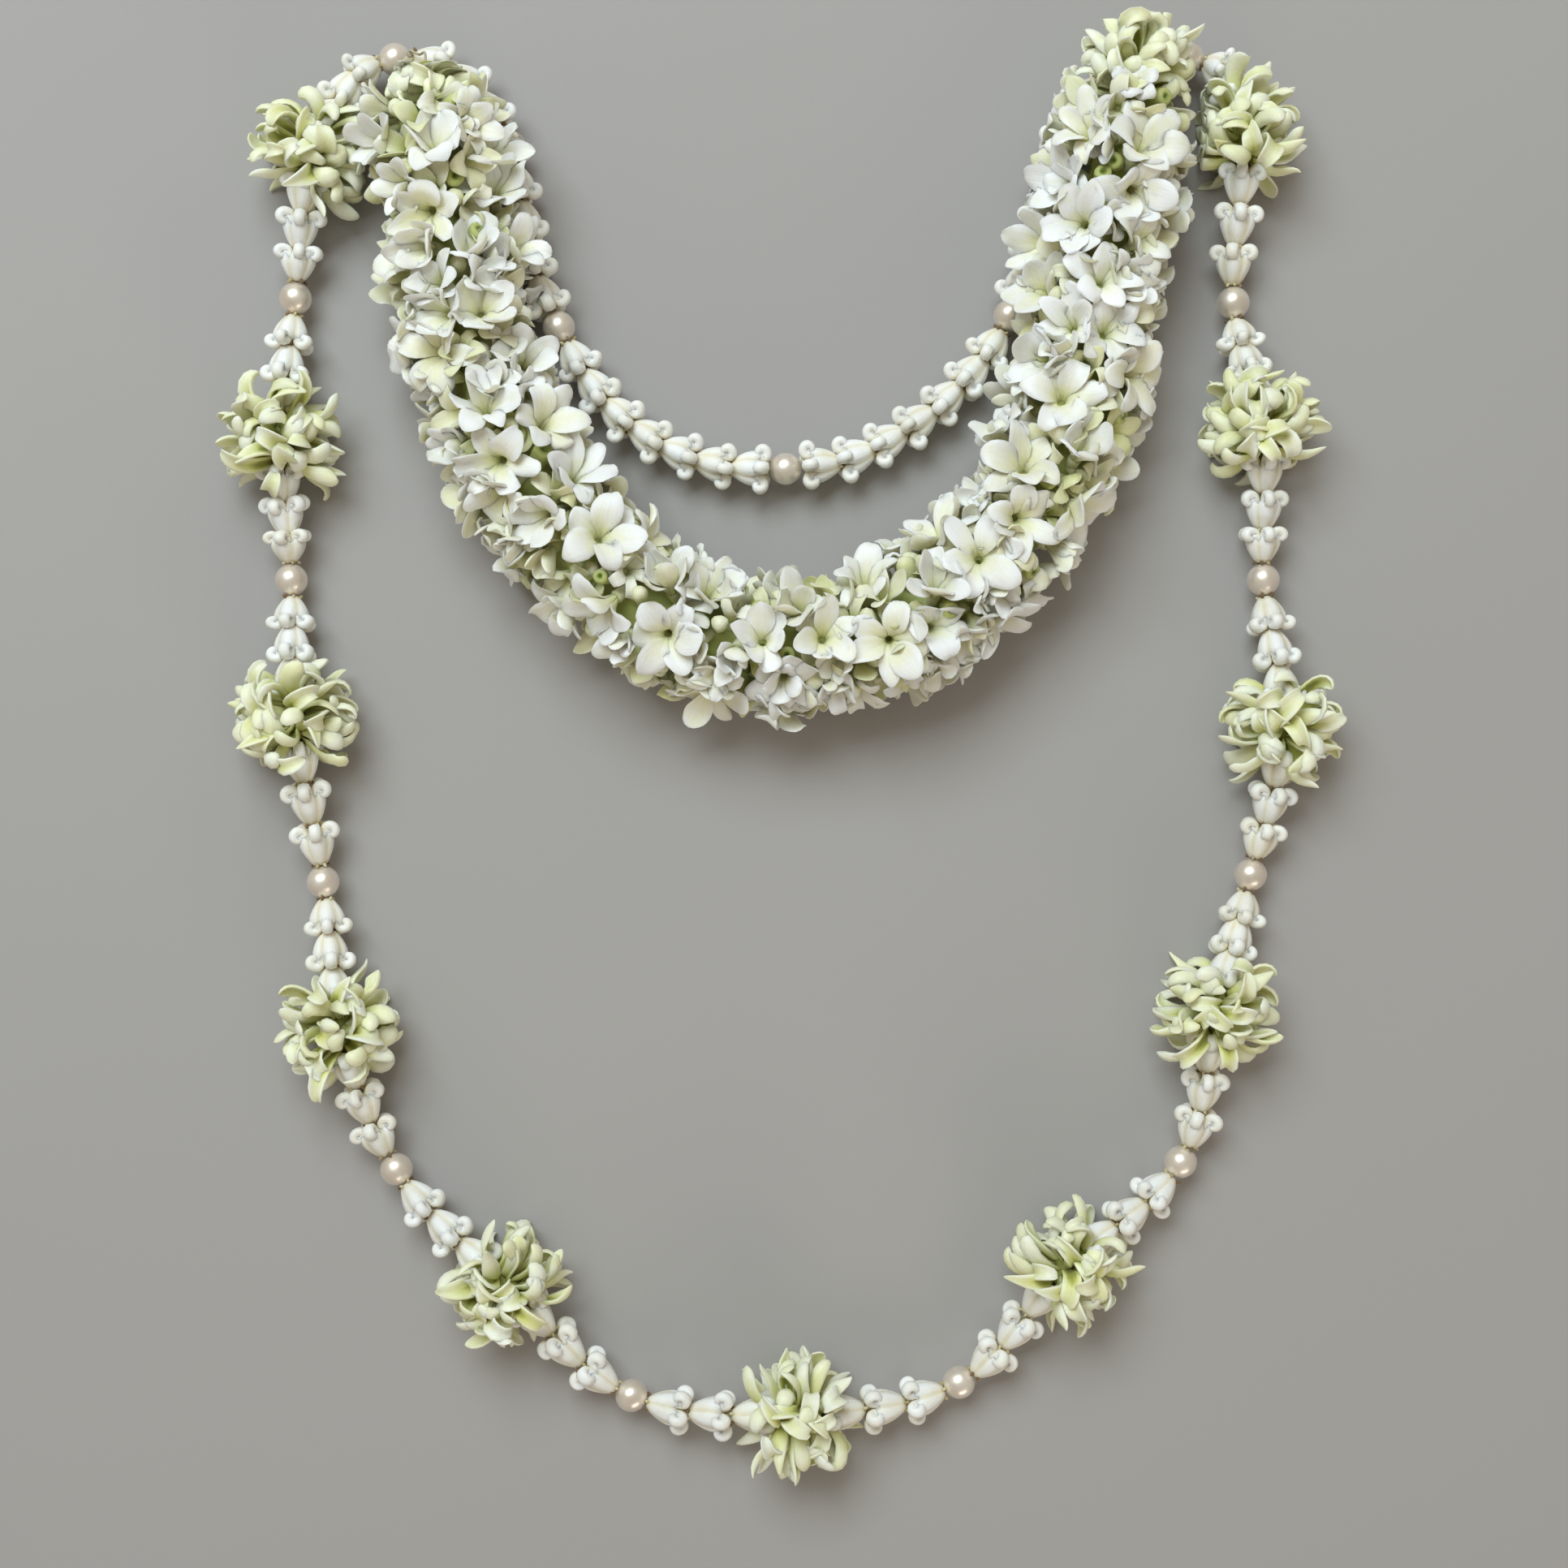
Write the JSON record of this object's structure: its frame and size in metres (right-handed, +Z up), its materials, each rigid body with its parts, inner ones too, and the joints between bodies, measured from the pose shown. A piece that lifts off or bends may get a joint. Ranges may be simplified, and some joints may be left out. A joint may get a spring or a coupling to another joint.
{
  "type": "lei",
  "caption": "Flower lei lying flat: a thick U of tuberose florets with a long looped strand of crown flowers, pearls and petal pompons.",
  "frame": {"origin": "middle of the overall box, on the surface that the lei lies on", "axes": "+Z up from the surface, +Y towards the two top ends of the lei, +X across it to the viewer's right"},
  "size_m": [0.3452, 0.4426, 0.0449],
  "materials": {
    "tuberose": "waxy white petals, cream and yellow green in the throats",
    "crown_flower": "waxy ivory white, tan frill at the narrow end",
    "pompon_petal": "waxy pale green white petals, greener at the base",
    "pearl": "pearly cream pink, soft gloss",
    "thread": "plain twisted cotton, straw coloured"
  },
  "bodies": {
    "root": {"crowns_01": "crown_flower", "crowns_02": "crown_flower", "crowns_03": "crown_flower", "crowns_04": "crown_flower", "crowns_05": "crown_flower", "crowns_06": "crown_flower", "crowns_07": "crown_flower", "crowns_08": "crown_flower", "crowns_09": "crown_flower", "crowns_10": "crown_flower", "crowns_11": "crown_flower", "crowns_12": "crown_flower", "crowns_13": "crown_flower", "crowns_14": "crown_flower", "crowns_15": "crown_flower", "crowns_16": "crown_flower", "crowns_17": "crown_flower", "crowns_18": "crown_flower", "crowns_19": "crown_flower", "crowns_20": "crown_flower", "crowns_21": "crown_flower", "crowns_22": "crown_flower", "crowns_23": "crown_flower", "crowns_24": "crown_flower", "crowns_25": "crown_flower", "crowns_26": "crown_flower", "long_thread": "thread", "pearl_01": "pearl", "pearl_02": "pearl", "pearl_03": "pearl", "pearl_04": "pearl", "pearl_05": "pearl", "pearl_06": "pearl", "pearl_07": "pearl", "pearl_08": "pearl", "pearl_09": "pearl", "pearl_10": "pearl", "pearl_11": "pearl", "pearl_12": "pearl", "pearl_13": "pearl", "pearl_14": "pearl", "pearl_15": "pearl", "pompon_01": "pompon_petal", "pompon_02": "pompon_petal", "pompon_03": "pompon_petal", "pompon_04": "pompon_petal", "pompon_05": "pompon_petal", "pompon_06": "pompon_petal", "pompon_07": "pompon_petal", "pompon_08": "pompon_petal", "pompon_09": "pompon_petal", "pompon_10": "pompon_petal", "pompon_11": "pompon_petal", "pompon_12": "pompon_petal", "pompon_13": "pompon_petal", "rope_thread": "thread", "tuberose_rope_1": "tuberose", "tuberose_rope_2": "tuberose", "tuberose_rope_3": "tuberose", "tuberose_rope_4": "tuberose"}
  },
  "joints": []
}
